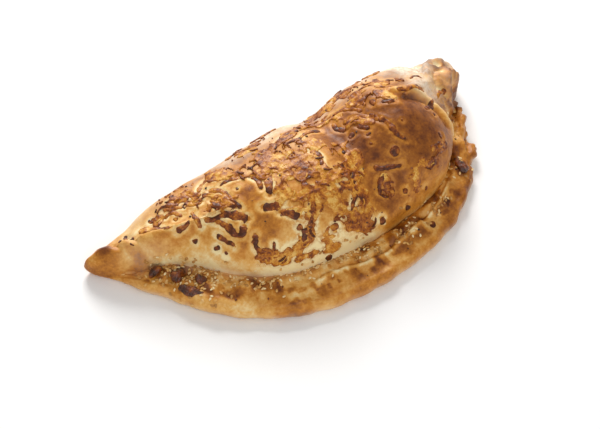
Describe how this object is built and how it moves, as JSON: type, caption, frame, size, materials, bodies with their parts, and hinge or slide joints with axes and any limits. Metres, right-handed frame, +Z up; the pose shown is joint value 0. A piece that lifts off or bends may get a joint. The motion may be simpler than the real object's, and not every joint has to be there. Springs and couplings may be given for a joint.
{
  "type": "calzone",
  "caption": "Half-moon of pizza dough folded over its filling, with a pressed hem, browned melted cheese, burnt cheese lumps and sesame seeds.",
  "frame": {"origin": "under the middle of the bounding box, on the flat base", "axes": "+X from the pinched tail to the knob, +Y towards the folded back edge, +Z up; the pressed hem faces -Y"},
  "size_m": [0.32, 0.1458, 0.0664],
  "materials": {
    "baked_dough": "oven-baked crust, matte with a faint oily sheen, floury at its edges",
    "burnt_cheese": "blistered cheese baked dark brown, glossy",
    "melted_cheese": "grated cheese melted and browned to orange, oily",
    "sesame_seed": "toasted, smooth"
  },
  "bodies": {
    "root": {"dough": "baked_dough", "burnt_cheese_1": "burnt_cheese", "burnt_cheese_2": "burnt_cheese", "burnt_cheese_3": "burnt_cheese", "burnt_cheese_4": "burnt_cheese", "burnt_cheese_5": "burnt_cheese"}
  },
  "joints": []
}
